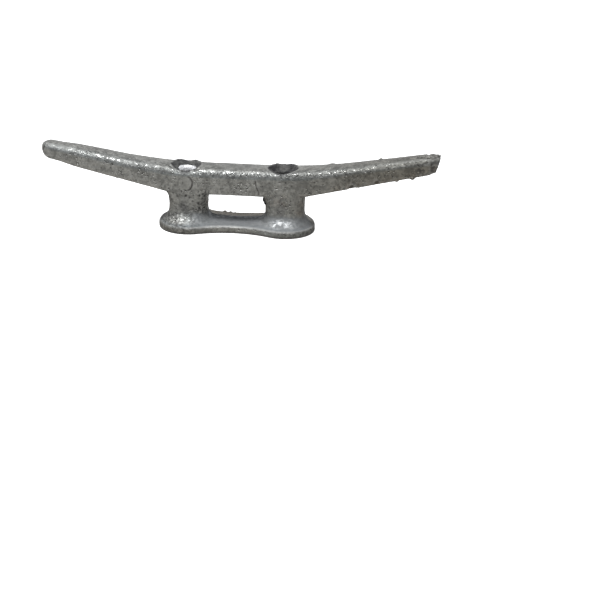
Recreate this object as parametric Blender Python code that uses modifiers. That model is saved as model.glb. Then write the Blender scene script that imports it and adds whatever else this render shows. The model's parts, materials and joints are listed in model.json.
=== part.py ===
"""Open-base horn cleat: one iron casting with two countersunk fastening holes.

Frame: the origin is the centre of the base's underside, +X runs along the horns and +Z is up. Metres.
The casting is a bar that rises into two horns, two stems under it, and a base with a round lobe under each
stem. The right horn keeps the stub of the channel through which the metal was poured.
"""

import math

import bmesh
import bpy

MM = 0.001

# Bar and horns
HORN_REACH = 74.6 * MM  # centre to the left horn's tip
TOP_HEIGHT = 24.5 * MM  # base to the flat middle of the bar's top
FLAT_REACH = 12.0 * MM  # centre to where the top begins to rise
RISE_RADIUS = 190.0 * MM  # the arc that lifts the top
TOP_SLOPE = 0.17  # of the straight outer stretch
BAR_UNDERSIDE = 14.3 * MM
HORN_UNDERSIDE = 15.1 * MM  # just outside the stem
UNDERSIDE_SLOPE = 0.219
BAR_HALF_WIDTH = 6.3 * MM
TIP_HALF_WIDTH = 4.5 * MM
TAPER_START = 24.0 * MM  # centre to where the horns begin to narrow
TOP_EDGE_RADIUS = 2.2 * MM
LOWER_EDGE_RADIUS = 1.4 * MM
TOP_CROWN = 0.35 * MM  # the middle of the top stands this far above its edges
ROUND_TIP = 3.8 * MM  # length of the left tip's rounding
TIP_CAP = 0.02 * MM  # the rounding ends in a cap cut off this short
TIP_SLIMMING = 0.1  # the left tip is this much slimmer than the straight taper
SLIM_START = 61.0 * MM
SLIM_LENGTH = 6.0 * MM
STATIONS = 44
CORNER_STEPS = 3

# Stems and fastening holes
HOLE_SPACING = 36.6 * MM
HOLE_SHIFT = (-0.8 * MM, -0.3 * MM)  # both holes came out this far off the stems' centres
STEM_HALF_LENGTH = 7.4 * MM
STEM_HALF_WIDTH = 6.05 * MM
STEM_SQUARENESS = 2.4  # exponent of the section: 2 is an ellipse, larger is squarer
STEM_HEAD_FLARE = 1.3 * MM
HEAD_START = 12.9 * MM  # height where the flare into the bar begins
HEAD_OVERLAP = 0.5 * MM
STEM_TOP = 18.5 * MM  # inside the bar
COVE_STEPS = 4
HEAD_STEPS = 3
STEM_SIDES = 32
HOLE_RADIUS = 3.4 * MM
SINK_RADIUS = 5.7 * MM
SINK_HALF_ANGLE = math.radians(41)
HOLE_SIDES = 32
HOLE_CLEARANCE = 1.0 * MM  # a cutter passes the casting's faces by this much

# Base
LOBE_RADIUS = 11.3 * MM
WAIST_HALF_WIDTH = 7.0 * MM
RIM_HEIGHT = 3.0 * MM
CREST_HEIGHT = 4.4 * MM
CREST_HALF_WIDTH = 0.5 * MM
COVE_HEIGHT = 3.6 * MM  # the hollow slope from the rim to the stem rises this far
REAR_RISE = 0.8 * MM  # the rear half of the mould was cut this much deeper
RIM_ROUND = 0.4 * MM
FOOT_LEDGE = 0.2 * MM  # the base's top reaches this far past the stem's foot
SLOPE_STEPS = 5
SLOPE_HOLLOW = 1.5  # exponent of the slope from the waist's rim to the crest
ARC_STEPS = 12

# Pouring stub: the right horn ends in a slightly smaller block, broken off on a slant
STUB_START = 72.4 * MM
STUB_LENGTH = 2.6 * MM
STUB_SCALE = 0.88
STUB_LEAN = 0.4  # the broken face runs out this much further for each unit of height
STUB_RINGS = ((0.25, 0.25), (0.5, 0.6), (1.0, 1.0))  # shares of the stub's length and of its lean

MERGE_DISTANCE = 0.01 * MM
SHARP_ANGLE = math.radians(35)
IRON_COLOUR = (0.36, 0.37, 0.37, 1.0)


def clear_scene():
    """Remove every object, so that the script gives the same scene each time."""
    for obj in list(bpy.data.objects):
        bpy.data.objects.remove(obj)


def new_collection(name):
    """Return a new collection linked to the scene."""
    collection = bpy.data.collections.new(name)
    bpy.context.scene.collection.children.link(collection)
    return collection


def galvanised_iron():
    """Return the casting's material: dull zinc over iron."""
    material = bpy.data.materials.new("galvanised_iron")
    material.use_nodes = True
    shader = material.node_tree.nodes["Principled BSDF"]
    shader.inputs["Base Color"].default_value = IRON_COLOUR
    shader.inputs["Metallic"].default_value = 0.8
    shader.inputs["Roughness"].default_value = 0.5
    return material


def add_object(name, mesh, collection):
    """Put a mesh into the scene and return its object."""
    obj = bpy.data.objects.new(name, mesh)
    collection.objects.link(obj)
    return obj


def add_helper(name, mesh, collection):
    """Put a shape that is joined to the casting, or cut from it, where no render shows it."""
    obj = add_object(name, mesh, collection)
    obj.hide_render = True
    obj.display_type = "WIRE"
    return obj


def arc(centre_x, centre_y, radius, start, end, steps):
    """Points along an arc, both ends included."""
    turns = [start + (end - start) * step / steps for step in range(steps + 1)]
    return [(centre_x + radius * math.cos(turn), centre_y + radius * math.sin(turn)) for turn in turns]


def loft(name, rings):
    """Return a closed mesh through rings of equally many points, with a cap on each end."""
    shape = bmesh.new()
    loops = [[shape.verts.new(point) for point in ring] for ring in rings]
    for low, high in zip(loops, loops[1:]):
        for i in range(len(low)):
            j = (i + 1) % len(low)
            shape.faces.new((low[i], low[j], high[j], high[i]))
    shape.faces.new(reversed(loops[0]))
    shape.faces.new(loops[-1])
    bmesh.ops.recalc_face_normals(shape, faces=shape.faces)
    mesh = bpy.data.meshes.new(name)
    shape.to_mesh(mesh)
    shape.free()
    return mesh


def top_height(x):
    """Height of the bar's top: flat, then an arc, then a straight rise."""
    beyond = max(abs(x) - FLAT_REACH, 0.0)
    arc_length = TOP_SLOPE * RISE_RADIUS
    on_arc = min(beyond, arc_length)
    return TOP_HEIGHT + on_arc**2 / (2 * RISE_RADIUS) + TOP_SLOPE * (beyond - on_arc)


def underside_height(x):
    """Height of the bar's underside: flat over the opening, then a straight rise under the horn."""
    stem_edge = HOLE_SPACING / 2 + STEM_HALF_LENGTH + STEM_HEAD_FLARE
    return max(BAR_UNDERSIDE, HORN_UNDERSIDE + UNDERSIDE_SLOPE * (abs(x) - stem_edge))


def half_width(x):
    """Half of the bar's width, narrowing evenly towards a tip."""
    along = max(abs(x) - TAPER_START, 0.0) / (HORN_REACH - TAPER_START)
    return BAR_HALF_WIDTH + (TIP_HALF_WIDTH - BAR_HALF_WIDTH) * along


def bar_ring(x, scale, lean=0.0):
    """Section of the bar at x: a rounded oblong with a crowned top, scaled about its own centre.

    A leaning section's points stand further out the higher they are.
    """
    wide, low, high = half_width(x), underside_height(x), top_height(x)
    upper_y, upper_z = wide - TOP_EDGE_RADIUS, high - TOP_CROWN - TOP_EDGE_RADIUS
    lower_y, lower_z = wide - LOWER_EDGE_RADIUS, low + LOWER_EDGE_RADIUS
    quarter = math.pi / 2
    outline = arc(upper_y, upper_z, TOP_EDGE_RADIUS, 0, quarter, CORNER_STEPS)
    outline.append((0.0, high))
    outline += arc(-upper_y, upper_z, TOP_EDGE_RADIUS, quarter, 2 * quarter, CORNER_STEPS)
    outline += arc(-lower_y, lower_z, LOWER_EDGE_RADIUS, 2 * quarter, 3 * quarter, CORNER_STEPS)
    outline += arc(lower_y, lower_z, LOWER_EDGE_RADIUS, 3 * quarter, 4 * quarter, CORNER_STEPS)
    middle = (low + high) / 2
    rises = [(y, (z - middle) * scale) for y, z in outline]
    return [(x + lean * rise, y * scale, middle + rise) for y, rise in rises]


def make_bar(collection):
    """Return the bar with both horns, their sections closer together towards the tips."""
    rings = []
    for station in range(STATIONS + 1):
        x = -HORN_REACH * math.cos(math.pi * station / STATIONS)
        if x > STUB_START:
            break
        inside = min(max(HORN_REACH + x, TIP_CAP) / ROUND_TIP, 1.0)
        slim = 1 - TIP_SLIMMING * min(max((-x - SLIM_START) / SLIM_LENGTH, 0.0), 1.0)
        rings.append(bar_ring(x, slim * math.sqrt(1 - (1 - inside) ** 2)))
    rings.append(bar_ring(STUB_START, 1.0))
    for along, lean in STUB_RINGS:
        rings.append(bar_ring(STUB_START + STUB_LENGTH * along, STUB_SCALE, STUB_LEAN * lean))
    return add_object("cleat_casting", loft("cleat_casting", rings), collection)


def stem_ring(centre_x, height, half_length, half_wide, squareness):
    """Section of a stem at one height: an oblong that is between an ellipse and a rectangle."""
    ring = []
    for side in range(STEM_SIDES):
        turn = 2 * math.pi * side / STEM_SIDES
        across, along = math.cos(turn), math.sin(turn)
        x = half_length * math.copysign(abs(across) ** (2 / squareness), across)
        y = half_wide * math.copysign(abs(along) ** (2 / squareness), along)
        ring.append((centre_x + x, y, height))
    return ring


def cove(height):
    """Share of the stem's flare that is left at a height: all of it at the rim, none at the cove's top."""
    return max(1 - (height - RIM_HEIGHT) / COVE_HEIGHT, 0.0) ** 2


def make_stem(name, centre_x, collection):
    """Return one stem: round where it leaves the base, squarer above, flared where it meets the bar."""
    foot = LOBE_RADIUS - RIM_ROUND
    start = CREST_HEIGHT
    inside = STEM_HALF_LENGTH + (foot - STEM_HALF_LENGTH) * cove(start) - FOOT_LEDGE
    rings = [stem_ring(centre_x, RIM_HEIGHT / 2, inside, inside, 2.0)]
    for step in range(COVE_STEPS + 1):
        part = step / COVE_STEPS
        height = start + (RIM_HEIGHT + COVE_HEIGHT - start) * part
        share = cove(height)
        ledge = FOOT_LEDGE * (1 - part)
        length = STEM_HALF_LENGTH + (foot - STEM_HALF_LENGTH) * share - ledge
        wide = STEM_HALF_WIDTH + (foot - STEM_HALF_WIDTH) * share - ledge
        rings.append(stem_ring(centre_x, height, length, wide, 2.0 + (STEM_SQUARENESS - 2.0) * part))
    for step in range(HEAD_STEPS + 1):
        part = step / HEAD_STEPS
        length = STEM_HALF_LENGTH + STEM_HEAD_FLARE * part**2
        height = HEAD_START + (HORN_UNDERSIDE + HEAD_OVERLAP - HEAD_START) * part
        rings.append(stem_ring(centre_x, height, length, STEM_HALF_WIDTH, STEM_SQUARENESS))
    last = STEM_HALF_LENGTH + STEM_HEAD_FLARE
    rings.append(stem_ring(centre_x, STEM_TOP, last, STEM_HALF_WIDTH, STEM_SQUARENESS))
    return add_helper(name, loft(name, rings), collection)


def dog_bone(radius, waist, height):
    """Outline of the base at one height: two round lobes joined by hollow arcs tangent to both."""
    centre = HOLE_SPACING / 2
    hollow = (centre**2 + waist**2 - radius**2) / (2 * (radius - waist))
    tangent = math.atan2(waist + hollow, centre)
    quarter = arc(centre, 0, radius, 0, math.pi - tangent, ARC_STEPS)
    quarter += arc(0, waist + hollow, hollow, -tangent, -math.pi / 2, ARC_STEPS)[1:]
    upper = quarter + [(-x, y) for x, y in reversed(quarter)][1:]
    lower = [(-x, -y) for x, y in upper][1:-1]
    rise = REAR_RISE if height else 0.0
    outline = upper + lower
    return [(x, y, height + rise * min(max(y / WAIST_HALF_WIDTH, 0.0), 1.0)) for x, y in outline]


def make_base(collection):
    """Return the base: an upright rim, then a hollow slope up to the crest between the stems."""
    rings = [
        dog_bone(LOBE_RADIUS, WAIST_HALF_WIDTH, 0.0),
        dog_bone(LOBE_RADIUS, WAIST_HALF_WIDTH, RIM_HEIGHT - RIM_ROUND),
    ]
    foot = LOBE_RADIUS - RIM_ROUND
    waist = WAIST_HALF_WIDTH - RIM_ROUND
    for step in range(SLOPE_STEPS + 1):
        part = step / SLOPE_STEPS
        height = RIM_HEIGHT + (CREST_HEIGHT - RIM_HEIGHT) * part
        radius = STEM_HALF_LENGTH + (foot - STEM_HALF_LENGTH) * cove(height)
        half = CREST_HALF_WIDTH + (waist - CREST_HALF_WIDTH) * (1 - part) ** SLOPE_HOLLOW
        rings.append(dog_bone(radius, half, height))
    return add_helper("base", loft("base", rings), collection)


def make_hole_cutter(name, centre_x, collection):
    """Return a turned cutter: a straight hole that opens into a cone for a flat-headed screw."""
    shift_x, shift_y = HOLE_SHIFT
    rim = top_height(centre_x + shift_x)
    above = HOLE_CLEARANCE * math.tan(SINK_HALF_ANGLE)
    knee = rim - (SINK_RADIUS - HOLE_RADIUS) / math.tan(SINK_HALF_ANGLE)
    profile = (
        (0.0, rim + HOLE_CLEARANCE),
        (SINK_RADIUS + above, rim + HOLE_CLEARANCE),
        (HOLE_RADIUS, knee),
        (HOLE_RADIUS, -HOLE_CLEARANCE),
        (0.0, -HOLE_CLEARANCE),
    )
    mesh = bpy.data.meshes.new(name)
    edges = [(i, i + 1) for i in range(len(profile) - 1)]
    mesh.from_pydata([(x, 0.0, z) for x, z in profile], edges, [])
    cutter = add_helper(name, mesh, collection)
    cutter.location = (centre_x + shift_x, shift_y, 0.0)
    screw = cutter.modifiers.new("turn", "SCREW")
    screw.steps = HOLE_SIDES
    screw.render_steps = HOLE_SIDES
    screw.use_merge_vertices = True
    screw.merge_threshold = MERGE_DISTANCE
    return cutter


def combine(body, helper, operation):
    """Join a helper shape to the body, or cut it away."""
    step = body.modifiers.new(f"{operation.lower()}_{helper.name}", "BOOLEAN")
    step.operation = operation
    step.solver = "EXACT"
    step.object = helper


def main():
    """Build the casting and leave it in the scene as one object."""
    clear_scene()
    parts = new_collection("horn_cleat")
    helpers = new_collection("helper_shapes")
    helpers.hide_render = True
    casting = make_bar(parts)
    casting.data.materials.append(galvanised_iron())
    joined = [make_base(helpers)]
    for side, sign in (("left", -1), ("right", 1)):
        joined.append(make_stem(f"{side}_stem", sign * HOLE_SPACING / 2, helpers))
    for helper in joined:
        combine(casting, helper, "UNION")
    for side, sign in (("left", -1), ("right", 1)):
        cutter = make_hole_cutter(f"{side}_hole", sign * HOLE_SPACING / 2, helpers)
        combine(casting, cutter, "DIFFERENCE")
    casting.data.shade_smooth()
    casting.data.set_sharp_from_angle(angle=SHARP_ANGLE)


main()
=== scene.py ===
"""Looks of an open-base horn cleat: one iron casting under a dull, mottled skin of hot-dip zinc.

The skin is worked out in three steps. First the casting's plain forms (bar, stems, base and the two screw
holes) are grids of points carried along a path or turned about an axis. Then they are joined and given
an even mesh, whose inner corners are filled as a moulder would. Last, the grain of the sand mould, runs
of zinc, pits, and the marks of this one casting move the points along their normals.
"""

import itertools
import json
import logging
import math
from dataclasses import dataclass, field
from enum import Enum

import bpy
import numpy as np
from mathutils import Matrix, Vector


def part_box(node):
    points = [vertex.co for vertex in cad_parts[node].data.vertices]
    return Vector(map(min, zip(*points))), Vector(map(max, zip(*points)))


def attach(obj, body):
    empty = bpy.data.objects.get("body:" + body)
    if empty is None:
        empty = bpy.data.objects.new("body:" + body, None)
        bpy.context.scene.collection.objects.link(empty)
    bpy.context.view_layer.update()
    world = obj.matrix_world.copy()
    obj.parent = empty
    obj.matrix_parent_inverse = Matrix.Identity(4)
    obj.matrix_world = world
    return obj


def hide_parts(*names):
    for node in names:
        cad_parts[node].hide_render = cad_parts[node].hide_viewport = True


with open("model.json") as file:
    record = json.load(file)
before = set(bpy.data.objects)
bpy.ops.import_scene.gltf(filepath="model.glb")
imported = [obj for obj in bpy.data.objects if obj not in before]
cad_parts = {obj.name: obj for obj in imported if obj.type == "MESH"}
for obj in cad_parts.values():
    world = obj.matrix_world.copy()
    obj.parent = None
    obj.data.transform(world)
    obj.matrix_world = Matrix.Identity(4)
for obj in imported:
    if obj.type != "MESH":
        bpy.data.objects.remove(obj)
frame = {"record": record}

MM = 0.001
CAD_NODE = "cleat_casting"
LOG = logging.getLogger("cleat")

Socket = bpy.types.NodeSocket
Value = float | Socket
Colour = tuple[float, float, float]


# Numbers and fields


def smooth_step(value: np.ndarray, low: float, high: float) -> np.ndarray:
    """Blend from 0 at low to 1 at high along a cubic, level at both ends.

    Args:
        value: The numbers to blend by.
        low: Where the blend is 0. It may be the larger one.
        high: Where the blend is 1.

    Returns:
        The share at each number.
    """
    share = np.clip((value - low) / (high - low), 0.0, 1.0)
    return share * share * (3.0 - 2.0 * share)


def bell(distance: np.ndarray, radius: float | np.ndarray) -> np.ndarray:
    """Round hump of height 1: (1 - (distance / radius) squared) squared inside the radius, 0 outside."""
    return np.clip(1.0 - (distance / radius) ** 2, 0.0, None) ** 2


def window(value: np.ndarray, start: float, full: float, fading: float, end: float) -> np.ndarray:
    """Blend that is 0 up to the start, 1 from full to fading, and 0 again from the end on."""
    return smooth_step(value, start, full) * smooth_step(value, end, fading)


def turned_about_z(angle: float) -> np.ndarray:
    """Rotation matrix about Z."""
    c, s = math.cos(angle), math.sin(angle)
    return np.array([[c, -s, 0.0], [s, c, 0.0], [0.0, 0.0, 1.0]])


def turned_about_x(angle: float) -> np.ndarray:
    """Rotation matrix about X."""
    c, s = math.cos(angle), math.sin(angle)
    return np.array([[1.0, 0.0, 0.0], [0.0, c, -s], [0.0, s, c]])


class RandomField:
    """Smooth random fields in space, the same on every run for the same seed."""

    BLOCK = 32
    TURN = turned_about_z(0.7) @ turned_about_x(1.1)

    def __init__(self, seed: int) -> None:
        """Fill the block of random values that repeats through space.

        Args:
            seed: Start of the random numbers.
        """
        shape = (self.BLOCK,) * 3
        rng = np.random.default_rng(seed)
        self.values = rng.uniform(-1.0, 1.0, shape)
        self.cells = rng.random(shape + (5,))

    def waves(self, points: np.ndarray, length: float) -> np.ndarray:
        """Random value at each lattice point, blended between the 8 around each place.

        Args:
            points: Places, n by 3.
            length: Spacing of the lattice.

        Returns:
            One number from -1 to 1 for each place.
        """
        scaled = points @ self.TURN.T / length
        whole = np.floor(scaled).astype(int)
        part = scaled - whole
        part = part * part * (3.0 - 2.0 * part)
        total = np.zeros(len(points))
        for corner in itertools.product((0, 1), repeat=3):
            index = (whole + corner) % self.BLOCK
            weight = np.where(corner, part, 1.0 - part).prod(axis=1)
            total += weight * self.values[index[:, 0], index[:, 1], index[:, 2]]
        return total

    def layers(self, points: np.ndarray, length: float, count: int, fade: float = 0.55) -> np.ndarray:
        """Waves of one length, plus shorter and weaker ones on top.

        Args:
            points: Places, n by 3.
            length: Length of the longest waves.
            count: How many layers, each 0.53 as long as the one before.
            fade: Height of a layer as a share of the one before.

        Returns:
            The sum at each place, scaled so that it stays from -1 to 1.
        """
        total, height, reach = np.zeros(len(points)), 1.0, 0.0
        for layer in range(count):
            shifted = (points @ np.linalg.matrix_power(self.TURN, layer)) + 0.37 * layer * length
            total += height * self.waves(shifted, length * 0.53**layer)
            reach += height
            height *= fade
        return total / reach

    def specks(self, points: np.ndarray, cell: float, chance: float, small: float) -> np.ndarray:
        """Round humps at random places, at most one in each cubic cell.

        Args:
            points: Places, n by 3.
            cell: Size of a cell, which is also the widest a hump can be.
            chance: Share of the cells that hold one.
            small: Radius of the smallest hump, as a share of the largest.

        Returns:
            Height of the highest hump at each place, from 0 to 1.
        """
        scaled = points @ self.TURN.T / cell
        whole = np.floor(scaled).astype(int)
        best = np.zeros(len(points))
        for step in itertools.product((-1, 0, 1), repeat=3):
            place = whole + step
            index = place % self.BLOCK
            found = self.cells[index[:, 0], index[:, 1], index[:, 2]]
            gap = np.linalg.norm(scaled - place - found[:, :3], axis=1)
            radius = 0.5 * (small + (1.0 - small) * found[:, 3] ** 2)
            hump = bell(gap, radius) * (0.4 + 0.6 * radius / 0.5) * (found[:, 4] < chance)
            best = np.maximum(best, hump)
        return best


# Grids and meshes


def tube_mesh(name: str, rings: np.ndarray) -> bpy.types.Mesh:
    """Close a grid of rings into one surface: a quad between neighbours, and a cap on each end.

    Args:
        name: Name of the mesh.
        rings: Points, rings by sides by 3, each ring running the same way round.

    Returns:
        The mesh, with its faces pointing out.
    """
    count, sides, _ = rings.shape
    ring, side = np.meshgrid(np.arange(count - 1), np.arange(sides), indexing="ij")
    after = (side + 1) % sides
    near, far = ring * sides, (ring + 1) * sides
    faces = np.stack([near + side, near + after, far + after, far + side], -1).reshape(-1, 4)
    points = rings.reshape(-1, 3)
    first, last = np.arange(sides)[::-1], np.arange(sides) + (count - 1) * sides
    if signed_volume(points, faces) < 0:
        faces, first, last = faces[:, ::-1], first[::-1], last[::-1]
    mesh = bpy.data.meshes.new(name)
    mesh.from_pydata(points, [], [*faces.tolist(), first.tolist(), last.tolist()])
    return mesh


def signed_volume(points: np.ndarray, quads: np.ndarray) -> float:
    """Volume between the faces and the points' own middle, negative when the faces point in."""
    a, b, c, d = (points[quads[:, i]] - points.mean(0) for i in range(4))
    return float((np.cross(a, b) * c).sum() + (np.cross(a, c) * d).sum())


def helper(name: str, mesh: bpy.types.Mesh) -> bpy.types.Object:
    """Put a form that is joined or cut away into the scene.

    Args:
        name: Name of the form.
        mesh: Its mesh.

    Returns:
        The form as an object.
    """
    obj = bpy.data.objects.new(name, mesh)
    bpy.context.scene.collection.objects.link(obj)
    return obj


def write_masks(mesh: bpy.types.Mesh, masks: dict[str, np.ndarray]) -> None:
    """Give the mesh one attribute for each mask.

    Args:
        mesh: The mesh to write on.
        masks: Numbers for its points, by name.
    """
    for name, values in masks.items():
        attribute = mesh.attributes.new(name, "FLOAT", "POINT")
        attribute.data.foreach_set("value", values.astype(np.float32))


def quarter_turn(
    centre_y: np.ndarray, centre_z: np.ndarray, radius: float, start: float, steps: int
) -> np.ndarray:
    """Points on a quarter circle in each section: the centre plus the radius times (cosine, sine)."""
    angle = start + np.linspace(0.0, math.pi / 2, steps + 1)
    return np.stack([centre_y + radius * np.cos(angle), centre_z + radius * np.sin(angle)], -1)


def straight_run(start: np.ndarray, end: np.ndarray, steps: int) -> np.ndarray:
    """Points strictly between two points of each section, evenly spaced."""
    share = np.linspace(0.0, 1.0, steps + 2)[1:-1, None]
    return start[:, None] * (1.0 - share) + end[:, None] * share


# The casting's plain forms


@dataclass(frozen=True)
class Bar:
    """The bar with both horns: a rounded oblong section carried along X."""

    reach: float
    stem_edge: float
    top_height: float = 24.5 * MM
    flat_reach: float = 12.0 * MM
    rise_radius: float = 190.0 * MM
    slope: float = 0.17
    underside_height: float = 14.3 * MM
    horn_underside: float = 15.1 * MM
    underside_slope: float = 0.219
    wide: float = 6.3 * MM
    tip_wide: float = 4.5 * MM
    taper_start: float = 24.0 * MM
    upper_radius: float = 2.2 * MM
    lower_radius: float = 1.4 * MM
    crown: float = 0.35 * MM
    round_tip: float = 3.8 * MM
    slimming: float = 0.1
    slim_start: float = 61.0 * MM
    slim_length: float = 6.0 * MM
    stub_start: float = 72.4 * MM
    stub_gap: float = 0.2 * MM
    stub_length: float = 3.0 * MM
    stub_first: float = 0.06
    stub_scale: float = 0.94
    stub_lean: float = 0.3
    tip_least: float = 0.004
    stations: int = 260
    stub_rings: int = 12
    corner_steps: int = 7
    run_steps: int = 9

    def top(self, x: np.ndarray) -> np.ndarray:
        """Height of the top: flat, then an arc, then straight.

        The arc's rise is the distance along it squared, over twice its radius.

        Args:
            x: Places along the cleat.

        Returns:
            The height at each place.
        """
        beyond = np.maximum(np.abs(x) - self.flat_reach, 0.0)
        on_arc = np.minimum(beyond, self.slope * self.rise_radius)
        return self.top_height + on_arc**2 / (2 * self.rise_radius) + self.slope * (beyond - on_arc)

    def underside(self, x: np.ndarray) -> np.ndarray:
        """Height of the underside: flat over the opening, then straight up under each horn."""
        rise = self.underside_slope * (np.abs(x) - self.stem_edge)
        return np.maximum(self.underside_height, self.horn_underside + rise)

    def half_width(self, x: np.ndarray) -> np.ndarray:
        """Half of the bar's width, narrowing evenly towards a tip."""
        along = np.maximum(np.abs(x) - self.taper_start, 0.0) / (self.reach - self.taper_start)
        return self.wide + (self.tip_wide - self.wide) * along

    def outlines(self, x: np.ndarray) -> np.ndarray:
        """Sections at each x: four quarter circles joined by straight runs, with a crowned top.

        The crown falls away from the middle as the square of the distance across.

        Args:
            x: Where the sections lie.

        Returns:
            Points (y, z), sections by points by 2.
        """
        wide, low, high = (f(x)[:, None] for f in (self.half_width, self.underside, self.top))
        upper_y, upper_z = wide - self.upper_radius, high - self.crown - self.upper_radius
        lower_y, lower_z = wide - self.lower_radius, low + self.lower_radius
        corners = [
            quarter_turn(upper_y, upper_z, self.upper_radius, 0.0, self.corner_steps),
            quarter_turn(-upper_y, upper_z, self.upper_radius, math.pi / 2, self.corner_steps),
            quarter_turn(-lower_y, lower_z, self.lower_radius, math.pi, self.corner_steps),
            quarter_turn(lower_y, lower_z, self.lower_radius, 1.5 * math.pi, self.corner_steps),
        ]
        runs = []
        for corner, following in zip(corners, corners[1:] + corners[:1]):
            runs.append(straight_run(corner[:, -1], following[:, 0], self.run_steps))
        runs[0][..., 1] += self.crown * (1.0 - (runs[0][..., 0] / upper_y) ** 2)
        return np.concatenate([part for pair in zip(corners, runs) for part in pair], axis=1)

    def sections(self) -> np.ndarray:
        """Rings along the bar: closer at the tips, rounded off at the left, a leaning stub at the right.

        Returns:
            Points, rings by sides by 3.
        """
        x = -self.reach * np.cos(np.linspace(0.0, math.pi, self.stations))
        x = np.append(x[x < self.stub_start - self.stub_gap], self.stub_start)
        inside = np.clip((self.reach + x) / self.round_tip, self.tip_least, 1.0)
        slim = 1.0 - self.slimming * np.clip((-x - self.slim_start) / self.slim_length, 0.0, 1.0)
        scale = slim * np.sqrt(1.0 - (1.0 - inside) ** 2)
        along = np.linspace(self.stub_first, 1.0, self.stub_rings)
        x = np.append(x, self.stub_start + self.stub_length * along)
        scale = np.append(scale, np.full(len(along), self.stub_scale))
        lean = np.append(np.zeros(len(x) - len(along)), self.stub_lean * along)
        outline = self.outlines(x)
        middle = ((self.underside(x) + self.top(x)) / 2)[:, None]
        rise = (outline[..., 1] - middle) * scale[:, None]
        shifted = x[:, None] + lean[:, None] * rise
        return np.stack([shifted, outline[..., 0] * scale[:, None], middle + rise], -1)

    def build(self) -> bpy.types.Object:
        """Make the bar's form."""
        return helper("bar", tube_mesh("bar", self.sections()))


@dataclass(frozen=True)
class Cove:
    """The hollow flare of a stem's foot, which falls off with a power of the height above the rim."""

    rim: float = 3.0 * MM
    height: float = 5.6 * MM
    power: float = 2.6

    def share(self, z: np.ndarray) -> np.ndarray:
        """Share of the flare at a height: all of it at the rim, none at the cove's top."""
        return np.clip(1.0 - (z - self.rim) / self.height, 0.0, None) ** self.power


@dataclass(frozen=True)
class Stem:
    """One stem: sections between an ellipse and a rectangle, flared at the foot and under the bar."""

    centre: float
    foot: float
    cove: Cove
    half_length: float = 7.4 * MM
    half_width: float = 6.05 * MM
    squareness: float = 2.5
    head_flare: float = 1.3 * MM
    head_start: float = 12.9 * MM
    head_end: float = 15.6 * MM
    head_width: float = 6.28 * MM
    head_squareness: float = 6.0
    merge_start: float = 9.5 * MM
    merge_end: float = 16.0 * MM
    top: float = 18.5 * MM
    overlap: float = 0.8 * MM
    rings: int = 60
    sides: int = 96

    def sections(self) -> np.ndarray:
        """Rings up the stem: the foot's flare, a straight column, then a head that runs flush into the bar.

        A point at turn t lies at (length times cos t, width times sin t), each raised to 2 over the
        squareness. The head's flare along the bar grows as a square of the height.

        Returns:
            Points, rings by sides by 3.
        """
        z = np.linspace(self.cove.rim + self.overlap, self.top, self.rings)[:, None]
        turn = np.linspace(0.0, 2 * math.pi, self.sides, endpoint=False)[None, :]
        share = self.cove.share(z)
        head = np.clip((z - self.head_start) / (self.head_end - self.head_start), 0.0, 1.0) ** 2
        length = self.half_length + (self.foot - self.half_length) * share + self.head_flare * head
        merge = smooth_step(z, self.merge_start, self.merge_end)
        width = self.half_width + (self.foot - self.half_width) * share
        width = width + (self.head_width - self.half_width) * merge
        square = 2.0 + (self.squareness - 2.0) * (1.0 - np.sqrt(share))
        power = 2.0 / (square + (self.head_squareness - self.squareness) * merge)
        x = self.centre + length * np.sign(np.cos(turn)) * np.abs(np.cos(turn)) ** power
        y = width * np.sign(np.sin(turn)) * np.abs(np.sin(turn)) ** power
        return np.stack([x, y, np.broadcast_to(z, x.shape)], -1)

    def build(self, name: str) -> bpy.types.Object:
        """Make the stem's form."""
        return helper(name, tube_mesh(name, self.sections()))


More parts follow.
